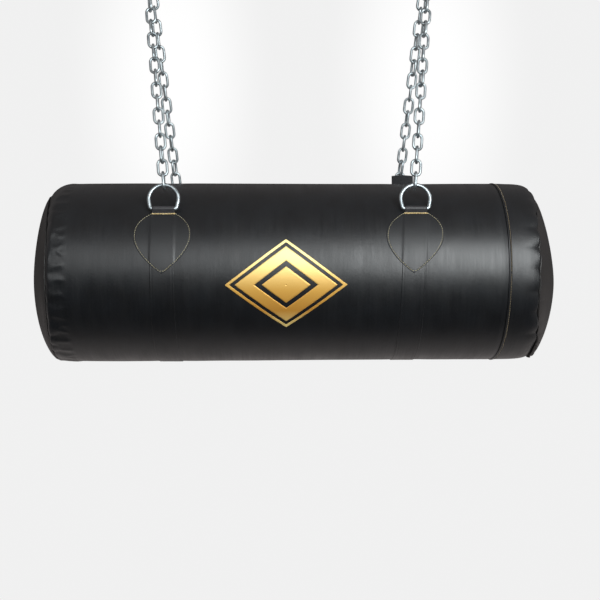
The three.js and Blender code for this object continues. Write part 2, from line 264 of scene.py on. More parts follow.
def gathers(angle, seed, count):
    """Pleats round a gathered seam, from 0 in the stitched dips to 1 on the puffs between them: the
    size of a sine, with uneven spacing and height."""
    drift = waves(0.0, angle, seed, 5, (2, 7), 0)
    depth = 0.6 + 0.4 * np.clip(waves(0.0, angle, seed + 1, 6, (3, 11), 0), -1, 1)
    return depth * np.abs(np.sin(count / 2 * angle + drift)) ** 0.9


def slack(x, angle):
    """Slow unevenness of the filling under the whole cover, in metres."""
    broad = 0.7 * MM * waves(x, angle, 3, 9, (1, 4), 9)
    return broad + 0.12 * MM * waves(x, angle, 4, 14, (2, 9), 50)


def steep(angle):
    """0 at the front and rear waist, rising slowly and then fast to 1 at the top and underside: a
    power of the sine."""
    return np.abs(np.sin(angle)) ** 2.6


def shoulder(end, angle):
    """How far the cover has rounded down by an end seam: more above and below than at the waist, and
    most on top at the left end."""
    if end == "left":
        return (8 + 6 * np.sin(angle) + 4 * steep(angle)) * MM
    return (5 + 5 * steep(angle)) * MM


def seam_bow(end, angle):
    """How far an end seam lies outside its plane, where the filling has pushed it out above and
    below."""
    top, bottom = SEAM_BOW[end]
    middle = (top + bottom) / 2
    return (middle + (top - middle) * np.sin(angle)) * steep(angle)


def seam_wander(end, angle):
    """How far the right end seam strays along the bag: a slow wave, and a notch at each fold."""
    if end == "left":
        return 0.0 * angle
    wave = 1.6 * MM * waves(0.0, angle, 33, 7, (2, 7), 0)
    folds = gathers(angle, FOLD_SEED[end], FOLD_COUNT[end])
    return wave + 4.5 * MM * (folds - 0.45)


def cover_radius(x, angle):
    """The cover's radius: a tight cylinder, held in a little by the two slings, with a shoulder that
    falls away exponentially to the left seam, and the folds that the seam gathers."""
    r = BAG_R - 0.4 * MM + slack(x, angle)
    near = np.clip(x - SEAM_L, 0, None)
    reach = SHOULDER_LENGTH * (0.5 + 0.6 * steep(angle))
    r = r - shoulder("left", angle) * np.exp(-near / reach)
    r = r - 2 * MM * np.exp(-near / (70 * MM))
    for sign in STATIONS.values():
        r = r - 0.5 * MM * np.exp(-((x - sign * STATION_X) / (42 * MM)) ** 4)
    return r + end_folds("left", x, angle)


def on_bag(x, angle, rise):
    """Points at a height above the cover; angle 0 is the front waist and rises over the top."""
    return ringed(x, cover_radius(x, angle) + rise, angle)


def ringed(x, r, angle):
    """Points at radius r round the bag's axis."""
    return np.stack(np.broadcast_arrays(x, -r * np.cos(angle), AXIS_Z + r * np.sin(angle)), -1)


def drawn_in(row, share):
    """A copy of a ring of points, drawn towards the bag's axis."""
    return (row - [0, 0, AXIS_Z]) * [1, share, share] + [0, 0, AXIS_Z]


# ---- the gathered ends ----
fold_tables = {"left": None, "right": None}


def end_folds(end, x, angle):
    """How far the simulated folds lift the cloth near an end seam, read between the table's points.
    The lift fades out over the last third of its reach."""
    table = fold_tables[end]
    if table is None:
        return 0.0
    x, angle = np.broadcast_arrays(x, angle)
    away = (x - SEAM_L if end == "left" else SEAM_R - x) / FOLD_REACH[end]
    row = np.clip(away, 0, 1) * (FOLD_ROWS - 1)
    column = (angle / (2 * np.pi) % 1) * FOLD_COLUMNS
    i = np.minimum(row.astype(int), FOLD_ROWS - 2)
    j = column.astype(int) % FOLD_COLUMNS
    u = row - i
    v = column - column.astype(int)
    k = (j + 1) % FOLD_COLUMNS
    low = table[i, j] * (1 - v) + table[i, k] * v
    high = table[i + 1, j] * (1 - v) + table[i + 1, k] * v
    return (low * (1 - u) + high * u) * smooth((1 - away) * 3)


def simulate_folds(end, radius, excess, push):
    """Cloth simulation of the strip of cover beside an end seam. Its flat cut has the bag's full
    girth and more, its seam edge is held at the seam's smaller girth and its other edge at the
    cover's. A push above 0 blows the surplus out into puffs, and one below 0 draws it in to
    creases. Returns how far each point ends from its row's mean radius."""
    away = np.linspace(0, 1, FOLD_ROWS)[:, None] * FOLD_REACH[end]
    x = SEAM_L + away if end == "left" else SEAM_R - away
    angle = np.linspace(0, 2 * np.pi, FOLD_COLUMNS, endpoint=False)[None, :]
    folds = gathers(angle, FOLD_SEED[end], FOLD_COUNT[end])
    pleats = (folds - 0.4) * np.exp(-away / (11 * MM))
    start = radius(x, angle) + 4.4 * MM * pleats
    strip = open_tube("fold_strip", ringed(x, start, angle))
    strip.shape_key_add(name="as held")
    cut = strip.shape_key_add(name="as cut")
    girth = 1 + excess * np.exp(-away / (9 * MM))
    flat = ringed(x, BAG_R * girth, angle)
    cut.data.foreach_set("co", flat.astype(np.float32).ravel())
    held = strip.vertex_groups.new(name="held")
    count = FOLD_ROWS * FOLD_COLUMNS
    held.add(list(range(FOLD_COLUMNS)) + list(range(count - FOLD_COLUMNS, count)), 1.0, "REPLACE")
    cloth = strip.modifiers.new("cloth", "CLOTH")
    cloth.settings.rest_shape_key = cut
    cloth.settings.vertex_group_mass = "held"
    cloth.settings.use_pressure = True
    cloth.settings.uniform_pressure_force = push
    cloth.settings.tension_stiffness = 40
    cloth.settings.compression_stiffness = 40
    cloth.settings.bending_stiffness = 1.5
    cloth.settings.quality = 6
    cloth.settings.effector_weights.gravity = 0
    scene = bpy.context.scene
    for step in range(1, FOLD_FRAMES + 1):
        scene.frame_set(step)
    moved = np.empty(count * 3, np.float32)
    settled = strip.evaluated_get(bpy.context.evaluated_depsgraph_get())
    settled.data.vertices.foreach_get("co", moved)
    scene.frame_set(1)
    mesh = strip.data
    bpy.data.objects.remove(strip)
    bpy.data.meshes.remove(mesh)
    moved = moved.reshape(FOLD_ROWS, FOLD_COLUMNS, 3).astype(float)
    r = np.hypot(moved[..., 1], moved[..., 2] - AXIS_Z)
    lift = r - r.mean(1, keepdims=True)
    return np.clip(lift, -FOLD_LIMIT, FOLD_LIMIT)


def sleeve_radius(x, angle):
    """The closure sleeve's radius: just over the cover, rounding down to the right seam."""
    r = BAG_R - 0.2 * MM + slack(x, angle)
    near = np.clip(SEAM_R - x, 0, None)
    r = r - shoulder("right", angle) * np.exp(-(near / SHOULDER_LENGTH) ** 1.3)
    r = r - 1.5 * MM * np.exp(-near / (30 * MM))
    return r + end_folds("right", x, angle)


def outer_cover():
    """The tube, finest at its left seam. Its last ring turns in behind the seam, and its right edge
    runs on under the closure sleeve."""
    rows = np.concatenate([
        SEAM_L + 60 * MM * np.linspace(0, 1, 34) ** 1.4,
        np.linspace(SEAM_L + 68 * MM, SLEEVE_X + 8 * MM, 120),
    ])[:, None]
    angle = np.linspace(0, 2 * np.pi, COVER_AROUND, endpoint=False)[None, :]
    groove = 2.2 * MM * np.exp(-(rows - SEAM_L) / (1.6 * MM))
    dip = 2.2 * MM * smooth((rows - SLEEVE_X + 5 * MM) / (6 * MM))
    outside = on_bag(rows, angle, -groove - dip)
    outside[..., 0] -= seam_bow("left", angle) * np.exp(-(rows - SEAM_L) / (35 * MM))
    rings = np.concatenate([drawn_in(outside[:1], 0.95), outside, drawn_in(outside[-1:], 0.97)])
    return open_tube("cover_tube", rings)


def closure_sleeve():
    """The band over the right end: a folded hem whose edge stands a little proud of the cover, a
    sewn dent behind it, then a stretch that follows the filling and rolls into the end seam."""
    angle = np.linspace(0, 2 * np.pi, SLEEVE_AROUND, endpoint=False)[None, :]
    u = np.concatenate([
        np.linspace(0, 0.16, 28), np.linspace(0.18, 0.6, 20), np.linspace(0.615, 1, 44),
    ])[:, None]
    x = sleeve_x(u, angle)
    hem = 1.3 * MM * np.exp(-((u - 0.02) / 0.04) ** 2)
    dent = -1.0 * MM * np.exp(-((u - HEM_STITCH_SHARE) / 0.018) ** 2)
    groove = -2.4 * MM * smooth((u - 0.965) / 0.035)
    r = sleeve_radius(x, angle) + hem + dent + groove
    x = x + (seam_bow("right", angle) + seam_wander("right", angle)) * smooth((u - 0.4) / 0.6)
    band = ringed(x, r, angle)
    rings = np.concatenate([drawn_in(band[:1], 0.975), band, drawn_in(band[-1:], 0.95)])
    return open_tube("closure_band", rings)


def sleeve_x(u, angle):
    """Where a share u of the sleeve's length lies, from its hem, which strays, to its seam."""
    wander = 1.1 * MM * waves(0.0, angle, 31, 6, (1, 5), 0)
    return SLEEVE_X + wander * (1 - u) + (SEAM_R - SLEEVE_X) * u


def end_disc(name, end, seam, tip, power, sink, seed, rough):
    """A disc pushed out by the filling: a superellipse (x/height)^power + (r/rim)^power = 1 from the
    seam to the tip, which has sunk a little. It starts on the seam's bow, with a small rolled lip,
    and has folds that fade inwards."""
    sign = STATIONS[end]
    height = abs(tip - seam) - 0.5 * MM
    angle = np.linspace(0, 2 * np.pi, DISC_AROUND, endpoint=False)[None, :]
    t = np.linspace(0, 1, DISC_RINGS)[:, None] ** 1.15
    lean = t * np.pi / 2
    outwards = np.sin(lean) ** (2 / power)
    r = (BAG_R - 2.6 * MM - shoulder(end, angle)) * np.cos(lean) ** (2 / power)
    x = height * outwards
    fold = gathers(angle, seed, DISC_FOLDS) - 0.4
    fade = np.exp(-t * 9) * smooth(t * 30)
    bulge = rough * (fold + 0.4 * waves(0.0, angle, seed + 5, 7, (2, 6), 0)) * fade
    deep = np.exp(-t * 4) * smooth(t * 8)
    bulge = bulge + 0.35 * rough * waves(t * 3, angle, seed + 8, 9, (1, 4), 3) * deep
    lip = 1.0 * MM * np.exp(-((t - 0.035) / 0.022) ** 2) - 1.6 * MM * np.exp(-t * 90)
    x = x + (bulge + lip) * 0.75 * smooth(t * 40)
    r = r + (np.minimum(bulge, 0) + lip) * (1 - t)
    x = x + seam_bow(end, angle) * (1 - outwards) + seam_wander(end, angle) * np.exp(-t * 12)
    r[-1] = 0.3 * MM
    x[-1] = x[-1].mean()
    rings = ringed(seam + sign * x, r, angle)
    rings[..., 2] -= sink * x / height
    rings = np.concatenate([drawn_in(rings[:1], 0.96), rings])
    faces = quads(DISC_RINGS + 1, DISC_AROUND, False).tolist()
    pole = [DISC_RINGS * DISC_AROUND + k for k in range(DISC_AROUND)]
    return mesh_object(name, rings, faces + [pole])


def foam_sheet():
    """The foam rolled inside the cover: a tube whose outside follows the cover's shoulders, 6 mm
    under them at the left end and 10 mm at the right."""
    x = np.concatenate([np.linspace(SEAM_L + 4 * MM, SEAM_L + 60 * MM, 12),
                        np.linspace(SEAM_L + 100 * MM, SEAM_R - 60 * MM, 12),
                        np.linspace(SEAM_R - 50 * MM, SEAM_R - 8 * MM, 12)])[:, None]
    angle = np.linspace(0, 2 * np.pi, 96, endpoint=False)[None, :]
    under = np.where(x < 0, cover_radius(x, angle), sleeve_radius(x, angle) - 4 * MM) - 6 * MM
    rings = np.concatenate([ringed(x, under, angle), ringed(x[::-1], FOAM_INSIDE, angle)])
    return mesh_object("foam_sheet", rings, quads(*rings.shape[:2], True).tolist())


# ---- slings, patches, stitching ----
def leaf(t):
    """Half width of a patch, t = 0 at the tip and 1 at the top edge: a power of a sine that swells to
    the belly, and a power curve that narrows to the strap's width."""
    low = np.sin(np.pi / 2 * np.clip(t / PATCH_BELLY, 0, 1)) ** 0.86
    above = np.clip(t - PATCH_BELLY, 0, 1) / (1 - PATCH_BELLY)
    return PATCH_HALF * low * (1 - 0.57 * above ** 2.3)


def patch_angle(t):
    """How far above the waist a patch is at a share of its height."""
    return PATCH_TIP + (PATCH_TOP - PATCH_TIP) * t


def sling_x(sign, angle):
    """The middle of a sling along the bag. The right one slants as it goes down and under."""
    u = (angle + np.pi / 2) / math.radians(127)
    slant = RIGHT_SLANT if sign > 0 else 0.0
    return sign * STATION_X + slant * (1 - np.clip(u, -1, 1) ** 4)


def facing(angle, side):
    """An angle above the front waist, or the same angle above the rear one."""
    return angle if side < 0 else np.pi - angle


def rounded(edge, radius):
    """A rise from 0 at an edge to 1 a radius in from it, along a quarter circle."""
    return np.sqrt(1 - (1 - np.clip(edge / radius, 0, 1)) ** 2)


def strap_rise(offset):
    """The sling lying under a patch lifts it over the strap's width."""
    return BAND_RISE * smooth((STRAP_HALF + 2.2 * MM - np.abs(offset)) / (3.2 * MM))


def patch(name, sign, side):
    """A leather leaf: loops across it go over the outside and back underneath, inside the cover. Its
    edge is rounded, and a shallow trough follows the stitching."""
    t = np.concatenate([
        np.linspace(0.0, 0.1, 14), np.linspace(0.115, 0.93, 60), np.linspace(0.94, 1, 12),
    ])
    across = np.sin(np.linspace(-np.pi / 2, np.pi / 2, 61))
    width = np.maximum(leaf(t), 2.2 * MM)[:, None]
    offset = width * across
    angle = patch_angle(t)[:, None] + 0 * across
    edge = width * (1 - np.abs(across))
    ends = np.minimum(t, 1 - t)[:, None] * 125 * MM
    lip = rounded(np.minimum(edge, ends), 1.1 * MM)
    trough = 0.35 * MM * np.exp(-((edge - STITCH_INSET) / (0.9 * MM)) ** 2)
    sag = 0.12 * MM * waves(offset + sign, angle, 12, 8, (3, 9), 60)
    rise = PATCH_RISE * lip + strap_rise(offset) + (sag - trough) * lip - 0.1 * MM
    x = sling_x(sign, angle) + offset
    top = on_bag(x, facing(angle, side), rise)
    low = on_bag(x, facing(angle, side), -1.2 * MM)[:, ::-1]
    return loop_skin(name, np.concatenate([top, low], 1))


def sling_band(name, sign):
    """A flat strap from one patch under the bag to the other, with rounded edges and a row of
    stitching pressed in along each."""
    under_patch = math.radians(34)
    angle = np.linspace(-math.pi - under_patch, under_patch, 240)[:, None]
    offset = STRAP_HALF * np.sin(np.linspace(-np.pi / 2, np.pi / 2, 33))
    edge = STRAP_HALF - np.abs(offset)
    sewn = 0.3 * MM * np.exp(-((edge - 4 * MM) / (0.8 * MM)) ** 2)
    rise = (BAND_RISE - sewn) * rounded(edge, 0.9 * MM)
    x = sling_x(sign, angle) + offset
    top = on_bag(x, angle, rise)
    low = on_bag(x, angle, -1.0 * MM)[:, ::-1]
    return loop_skin(name, np.concatenate([top, low], 1))


def stitch_row(path, length, pitch, radius):
    """Capsule stitches laid along a path of points on the bag: each one's radius follows the square
    root of 1 less the cube of the way to its ends, where it sinks into the leather."""
    steps = np.linalg.norm(np.diff(path, axis=0), axis=1)
    run = np.concatenate([[0], np.cumsum(steps)])
    middles = np.arange(pitch / 2, run[-1] - pitch / 4, pitch)
    t = np.linspace(-1, 1, 7)
    girth = radius * np.sqrt(np.clip(1 - np.abs(t) ** 3, 0.02, 1))
    skins = []
    for middle in middles:
        at = middle + t * length / 2
        line = np.stack([np.interp(at, run, path[:, k]) for k in range(3)], -1)
        out = line - [0, 0, AXIS_Z]
        out[:, 0] = 0
        out /= np.linalg.norm(out, axis=1, keepdims=True)
        line = line + out * (radius * (0.5 - 1.3 * np.abs(t) ** 4))[:, None]
        across = np.cross(out[3], line[-1] - line[0])
        across /= np.linalg.norm(across)
        skins.append(wire(line, across, girth, 6, False))
    return skins


def patch_thread(sign, side):
    """Stitches 3 mm inside a patch's edge, down one side, round the tip and up the other."""
    t = np.linspace(0.99, 0.035, 170)
    width = np.maximum(leaf(t) - STITCH_INSET, 0)
    offset = np.concatenate([-width, width[::-1]])
    angle = patch_angle(np.concatenate([t, t[::-1]]))
    rise = PATCH_RISE + strap_rise(offset)
    points = on_bag(sling_x(sign, angle) + offset, facing(angle, side), rise)
    return stitch_row(points, 3.6 * MM, 5.2 * MM, 0.55 * MM)


def bar_thread(sign, side):
    """Two dense rows of gold thread that close the strap loop, straight across the patch's top."""
    half = STRAP_HALF - 0.3 * MM
    offset = np.linspace(-half, half, 60)
    skins = []
    for back in (1.9 * MM, 3.5 * MM):
        angle = PATCH_TOP - back / BAG_R + 0 * offset
        rise = PATCH_RISE + strap_rise(offset) + 0.2 * MM
        points = on_bag(sling_x(sign, angle) + offset, facing(angle, side), rise)
        skins += stitch_row(points, 3.0 * MM, 3.3 * MM, 0.8 * MM)
    return skins


def sleeve_thread():
    """A row in the dent behind the closure sleeve's hem, all the way round."""
    angle = np.linspace(0, 2 * np.pi, 961)
    x = sleeve_x(HEM_STITCH_SHARE, angle)
    points = ringed(x, sleeve_radius(x, angle) - 0.4 * MM, angle)
    return stitch_row(points, 4.4 * MM, 5.2 * MM, 0.75 * MM)


def strap_loop(name, sign, side):
    """A strap folded round the D-ring's bar: its section climbs from under the patch's top edge,
    goes over the bar as an arc and comes back down behind. It shrinks a little at the strap's
    edges."""
    radial = np.array([math.cos(BAR_ANGLE), math.sin(BAR_ANGLE)])
    along = np.array([-radial[1], radial[0]])
    outer = RING_WIRE + 1.5 * MM
    # Points from the bar: away from the bag's axis, and up along its surface.
    front = np.array([[-7.2, -19.5], [-7.0, -14.0], [-6.6, -10.5], [-5.2, -8.2], [-1.6, -6.7]]) * MM
    turn = np.radians(np.linspace(-60, 200, 28))
    crown = outer * np.stack([np.cos(turn), np.sin(turn)], -1)
    back = np.array([[-7.2, -5.0], [-7.9, -10.0], [-8.2, -15.0], [-8.2, -19.5]]) * MM
    section = np.concatenate([front, crown, back])
    middle = section.mean(0)
    across = np.sin(np.linspace(-np.pi / 2, np.pi / 2, 27))
    shrink = (1 - 0.13 * np.abs(across) ** 16)[:, None, None]
    section = (section[None] - middle) * shrink + middle
    flat = (BAR_RADIUS + section[..., :1]) * radial + section[..., 1:] * along
    x = sign * STATION_X + LOOP_HALF * across[:, None]
    loops = np.stack(np.broadcast_arrays(x, side * flat[..., 0], AXIS_Z + flat[..., 1]), -1)
    return loop_skin(name, loops)


def woven_tag(low, high, length):
    """A tape folded in two and sewn down by its ends: a flat U section upside down, which curls by a
    parabola and a sine along its length and is a little lower at its ends."""
    along = np.linspace(-1, 1, 40)[:, None]
    thick = 0.35 * MM
    gap = 0.75 * MM
    climb = np.linspace(0, TAG_HEIGHT, 14)
    turn = np.radians(np.linspace(0, 180, 7)[1:-1])
    outside = np.concatenate([
        np.stack([-gap + 0 * climb, climb], -1),
        np.stack([-gap * np.cos(turn), TAG_HEIGHT + gap * np.sin(turn)], -1),
        np.stack([gap + 0 * climb, climb[::-1]], -1),
    ])
    inwards = np.stack([np.sign(outside[:, 0]), outside[:, 1] >= TAG_HEIGHT], -1) * thick
    across, up = np.concatenate([outside, (outside - inwards)[::-1]]).T
    x = (low[0] + high[0]) / 2 + TAG_SHIFT + along * length / 2
    curl = 1.6 * MM * along ** 2 * (up / TAG_HEIGHT) + 0.5 * MM * np.sin(along * 4)
    y = (low[1] + high[1]) / 2 + across + curl - 0.6 * MM
    z = low[2] - 0.5 * MM + up * (1 - 0.06 * along ** 2)
    return loop_skin("folded_tag", np.stack(np.broadcast_arrays(x, y, z), -1))


# ---- emblem ----
def lozenge_ring(outer, inner):
    """A lozenge-shaped band of foil, outer and inner being shares of the emblem's whole size. Its
    corner and rise are triangle waves a quarter turn apart, and its section goes from the outside
    edge to the inside one and back underneath."""
    low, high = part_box("front_emblem")
    half = (high[0] - low[0]) / 2 - 1 * MM
    bottom = math.asin((low[2] - AXIS_Z) / BAG_R)
    top = math.asin((high[2] - AXIS_Z) / BAG_R)
    t = np.arange(240) / 60
    corner = np.abs((t + 1) % 4 - 2) - 1
    rise = np.abs(t % 4 - 2) - 1
    share = np.linspace(outer, inner, 16)[None, :]
    skin = np.full(16, 0.5 * MM)
    skin[0] = 0.25 * MM
    skin[-1] = 0.25 * MM if inner > SOLID_MIDDLE else 0.5 * MM
    x = (low[0] + high[0]) / 2 + half * corner[:, None] * share
    angle = (top + bottom) / 2 + (top - bottom) / 2 * rise[:, None] * share
    over = on_bag(x, angle, skin)
    under = on_bag(x[:, ::-1], angle[:, ::-1], -0.6 * MM)
    loops = np.concatenate([over, under], 1)
    return loops, quads(*loops.shape[:2], True)[:, ::-1]


def emblem():
    """A generic printed mark: a thin lozenge frame, a broad lozenge and a solid middle."""
    return joined_skins("lozenge_print", [
        lozenge_ring(1.0, 0.93), lozenge_ring(0.84, 0.52), lozenge_ring(0.4, SOLID_MIDDLE),
    ])


# ---- steel ----
def d_ring(name, station_x, side):
    """A D of round wire: a bar with tight corners, legs that lean out 11 degrees to a half-circle
    top, and a swollen weld in the middle of the bar. It leans with the chain."""
    corner = 6 * MM
    straight = RING_HEIGHT - RING_HALF
    splay = 11
    tilt = math.radians(splay)
    foot = (RING_HALF - corner + math.sin(tilt) * (corner - straight)) / math.cos(tilt)
    flat = np.concatenate([
        np.stack([np.linspace(-foot, foot, 25)[1:-1], np.zeros(23)], -1),
        arc(foot, corner, corner, -90, -splay, 9),
        arc(0, straight, RING_HALF, -splay, 180 + splay, 52),
        arc(-foot, corner, corner, 180 + splay, 270, 9),
    ])
    up = np.array([0, -side * math.sin(RING_LEAN), math.cos(RING_LEAN)])
    bar_y = side * BAR_RADIUS * math.cos(BAR_ANGLE)
    bar_z = AXIS_Z + BAR_RADIUS * math.sin(BAR_ANGLE)
    path = [station_x, bar_y, bar_z] + flat[:, :1] * [1, 0, 0] + flat[:, 1:] * up
    weld = 0.25 * MM * np.exp(-(flat[:, 0] / (3 * MM)) ** 2) * (flat[:, 1] < corner)
    return joined_skins(name, [wire(path, np.cross([1, 0, 0], up), RING_WIRE + weld, 18, True)])


def link_path():
    """A link's centre line: two half-circles joined by straight legs."""
    bend = LINK_WIDTH / 2 - LINK_WIRE
    leg = LINK_LENGTH / 2 - LINK_WIRE - bend
    return np.concatenate([arc(0, leg, bend, 0, 180, 12), arc(0, -leg, bend, 180, 360, 12)])


def link_skin(middle, up, across, twist):
    """One link about its middle, its length along up, its width along across, turned by twist."""
    depth = np.cross(up, across)
    wide = across * math.cos(twist) + depth * math.sin(twist)
    flat = link_path()
    path = middle + flat[:, :1] * wide + flat[:, 1:] * up
    return wire(path, np.cross(up, wide), LINK_WIRE, 12, True)


def chain_line(end, face):
    """A chain's top point, the unit direction down it and its across direction."""
    sign = STATIONS[end]
    side = SIDES[face]
    top = np.array([sign * HOOK_X, side * CHAIN_SPREAD, BAR_Z])
    low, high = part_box(f"{face}_{end}_d_ring")
    y = high[1] - RING_WIRE if side < 0 else low[1] + RING_WIRE
    bottom = np.array([sign * STATION_X, y, high[2] - RING_WIRE])
    down = (bottom - top) / np.linalg.norm(bottom - top)
    across = np.array([1.0, 0, 0]) - down[0] * down
    across /= np.linalg.norm(across)
    return top, down, across


def chain(name, end, face):
    """Nineteen links in line, alternately across and edge on, each twisted a little in its
    neighbours."""
    top, down, across = chain_line(end, face)
    depth = np.cross(-down, across)
    half = LINK_LENGTH / 2 - LINK_WIRE
    rng = np.random.default_rng(50 + 2 * STATIONS[end] + SIDES[face])
    skins = []
    for k in range(RUN_LINKS):
        middle = top + down * (FIRST_BEND + half + LINK_PITCH * k)
        loose = 0 if k in (0, RUN_LINKS - 1) else rng.uniform(-0.3, 0.3)
        wide = across if k % 2 == 0 else depth
        skins.append(link_skin(middle, -down, wide, loose))
    return joined_skins(name, skins)


def last_link(name, end, face):
    """The link that hangs the D-ring, edge on to the front."""
    middle = np.mean(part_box(name), 0)
    _, down, across = chain_line(end, face)
    return joined_skins(name + "_fine", [link_skin(middle, -down, np.cross(-down, across), 0)])


def top_ring(name, hook_x):
    """A triangular ring: a tight bend over the snap hook's bar and a straight bar for two chains."""
    bend = 8 * MM
    inset = 12 * MM
    corner = 8 * MM
    drop = HOOK_BAR_Z - BAR_Z
    flat = np.concatenate([
        arc(0, 0, bend, 0, 180, 20),
        arc(-inset, corner - drop, corner, 180, 270, 10),
        arc(inset, corner - drop, corner, 270, 360, 10),
    ])
    path = np.stack([np.full(len(flat), hook_x), flat[:, 0], HOOK_BAR_Z + flat[:, 1]], -1)
    return joined_skins(name, [wire(path, [1, 0, 0], TRIANGLE_WIRE, 16, True)])


def hook_side():
    """The snap hook's open side, a line that touches its base and top bends: where it leaves the top
    bend, the gate's pin on it, the directions up it and out of the hook, in the XZ plane, and how
    many degrees it leans."""
    run = HOOK_TOP - HOOK_BASE
    spread = math.asin((HOOK_TOP_BEND - HOOK_BASE_BEND) / np.hypot(*run))
    lean = spread + math.atan2(-run[0], run[1])
    out = np.array([math.cos(lean), math.sin(lean)])
    foot = HOOK_BASE + HOOK_BASE_BEND * out
    head = HOOK_TOP + HOOK_TOP_BEND * out
    up = (head - foot) / np.linalg.norm(head - foot)
    return head, foot + PIN_SHARE * (head - foot), up, out, math.degrees(lean)


def in_xz(flat, hook_x):
    """Points (x, z) of a hook, set at its place along the bag."""
    return np.stack([hook_x + flat[..., 0], 0 * flat[..., 0], flat[..., 1]], -1)


def ear(hook_x, y, half_thick, reach):
    """A cheek or knuckle: an egg-shaped plate round the pin, which reaches unevenly down and up the
    wire, its rim rounded over by a power of a cosine across its thickness."""
    _, pin, up, out, _ = hook_side()
    a = np.linspace(0, 2 * np.pi, 28, endpoint=False)
    s = np.linspace(-np.pi / 2, np.pi / 2, 9)
    wide = 3.9 * MM * np.cos(a)[None, :]
    tall = (np.where(np.sin(a) < 0, reach[0], reach[1]) * np.sin(a))[None, :]
    shrink = np.maximum(np.cos(s)[:, None] ** 0.35, 0.72)
    flat = pin + (wide * shrink)[..., None] * out + (tall * shrink)[..., None] * up
    loops = in_xz(flat, hook_x)
    loops[..., 1] = y + half_thick * np.sin(s)[:, None]
    return loops, capped_cells(*loops.shape[:2])


def snap_hook(name, hook_x):
    """Bent wire from the fork below the gate, round the base and top bends to the nose, with two
    cheeks that hold the gate's pin."""
    head, pin, up, _, lean = hook_side()
    aside, base_z = HOOK_BASE
    straight = np.linspace(1, -1, 9)
    bar_z = base_z - HOOK_BASE_BEND
    bar = np.stack([straight * (aside - 1 * MM), np.full(9, bar_z)], -1)
    base = arc(aside, base_z, HOOK_BASE_BEND, lean, -90, 12)[1:]
    back = arc(-aside, base_z, HOOK_BASE_BEND, 270, 180 - lean, 14)
    top = arc(*HOOK_TOP, HOOK_TOP_BEND, 180 - lean, lean, 30)
    tail = pin - up * np.array([2.6, 3.4, 4.2])[:, None] * MM
    nose = head - up * np.array([1.4, 2.4, 2.9, 3.0])[:, None] * MM
    path = in_xz(np.concatenate([tail, base, bar, back, top, nose]), hook_x)
    girth = np.full(len(path), HOOK_WIRE)
    girth[:2] = np.array([0.3, 0.8]) * HOOK_WIRE
    girth[-3:] = np.array([0.95, 0.75, 0.25]) * HOOK_WIRE
    skins = [wire(path, [0, 1, 0], girth, 20, False)]
    for y in (-2.95 * MM, 2.95 * MM):
        skins.append(ear(hook_x, y, 1.05 * MM, (6.5 * MM, 3.4 * MM)))
    return joined_skins(name, skins)


def hook_gate(name, hook_x):
    """The gate: a straight wire from its knuckle on the pin to its rounded end under the nose."""
    head, pin, up, _, _ = hook_side()
    length = np.linalg.norm(head - pin) - 3.5 * MM
    foot_run = np.array([2.4, 3.0, 4.4]) * MM
    tip_run = length - np.array([0.8, 0]) * MM
    run = np.concatenate([foot_run, np.linspace(6 * MM, length - 2 * MM, 14), tip_run])
    girth = np.full(len(run), GATE_WIRE)
    girth[:4] = np.array([1.0, 1.5, 2.4, 3.2]) * MM
    girth[-2:] = np.array([3.0, 1.0]) * MM
    path = in_xz(pin + up * run[:, None], hook_x)
    knuckle = ear(hook_x, 0.0, 1.6 * MM, (2.8 * MM, 6.5 * MM))
    return joined_skins(name, [wire(path, [0, 1, 0], girth, 20, False), knuckle])


def gate_pin(name, hook_x):
    """A rivet across the cheeks, its ends peened into low domes."""
    _, pin, up, out, _ = hook_side()
    y = np.array([-4.75, -4.7, -4.35, -4.0, -3.9, 0, 3.9, 4.0, 4.35, 4.7, 4.75]) * MM
    girth = np.array([0.2, 1.2, 1.9, 2.1, 1.4, 1.4, 1.4, 2.1, 1.9, 1.2, 0.2]) * MM
    a = np.linspace(0, 2 * np.pi, 20, endpoint=False)
    flat = pin + girth[:, None, None] * (np.cos(a)[:, None] * out + np.sin(a)[:, None] * up)
    loops = in_xz(flat, hook_x)
    loops[..., 1] = y[:, None]
    return joined_skins(name, [(loops, capped_cells(*loops.shape[:2]))])


# ---- materials ----
def hex_colour(code):
    """Linear red, green, blue and 1 from an sRGB hex code."""
    values = [int(code[i:i + 2], 16) / 255 for i in (1, 3, 5)]
    return [v / 12.92 if v <= 0.04045 else ((v + 0.055) / 1.055) ** 2.4 for v in values] + [1.0]


def add(tree, kind, inputs=None, stops=(), **settings):
    """Adds a node, sets its properties and a colour ramp's (position, hex) stops, and gives its
    inputs values or links them from other nodes."""
    node = tree.nodes.new(kind)
    for key, value in settings.items():
        setattr(node, key, value)
    while stops and len(node.color_ramp.elements) < len(stops):
        node.color_ramp.elements.new(0.5)
    for k, (position, code) in enumerate(stops):
        node.color_ramp.elements[k].position = position
        node.color_ramp.elements[k].color = hex_colour(code)
    for key, value in (inputs or {}).items():
        if isinstance(value, bpy.types.NodeSocket):
            tree.links.new(value, node.inputs[key])
        else:
            node.inputs[key].default_value = value
    return node


def new_material(name):
    """A plain node material: itself, its tree, its shader and the object coordinates."""
    made = bpy.data.materials.new(name)
    made.use_nodes = True
    tree = made.node_tree
    tree.nodes.clear()
    shader = add(tree, "ShaderNodeBsdfPrincipled")
    add(tree, "ShaderNodeOutputMaterial", {"Surface": shader.outputs[0]})
    place = add(tree, "ShaderNodeTexCoord").outputs["Object"]
    return made, tree, shader, place


